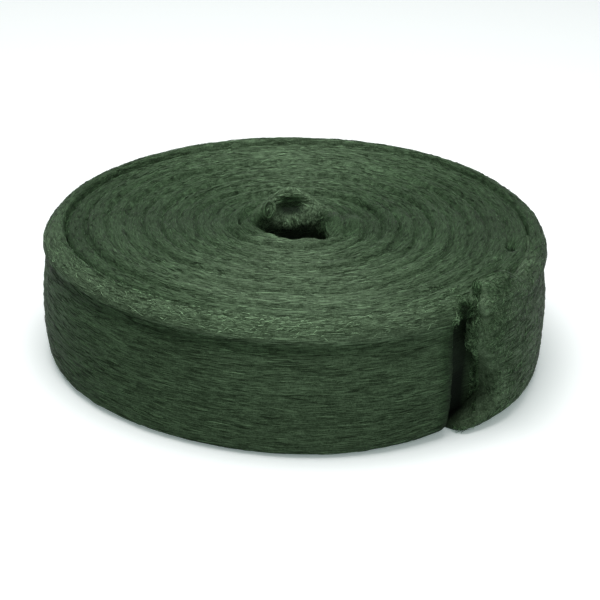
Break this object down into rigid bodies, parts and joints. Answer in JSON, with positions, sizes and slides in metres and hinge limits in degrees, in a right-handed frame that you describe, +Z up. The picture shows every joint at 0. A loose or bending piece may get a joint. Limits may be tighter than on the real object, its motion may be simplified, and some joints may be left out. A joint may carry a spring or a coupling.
{
  "type": "steel wool roll",
  "caption": "Roll of dark green-grey steel wool: one soft ribbon wound on itself round an open core, lying on its end, its loose outer end standing off the side.",
  "frame": {"origin": "middle of the roll's outline, on the face that it stands on", "axes": "+Z up along the roll's axis; the loose outer end of the ribbon is at the front right, towards +X and -Y"},
  "size_m": [0.3716, 0.3684, 0.114],
  "materials": {
    "steel_wool": "fine steel wool fibres, matt and oily, dark green-grey with light glints"
  },
  "bodies": {
    "root": {"wool_roll": "steel_wool"}
  },
  "joints": []
}
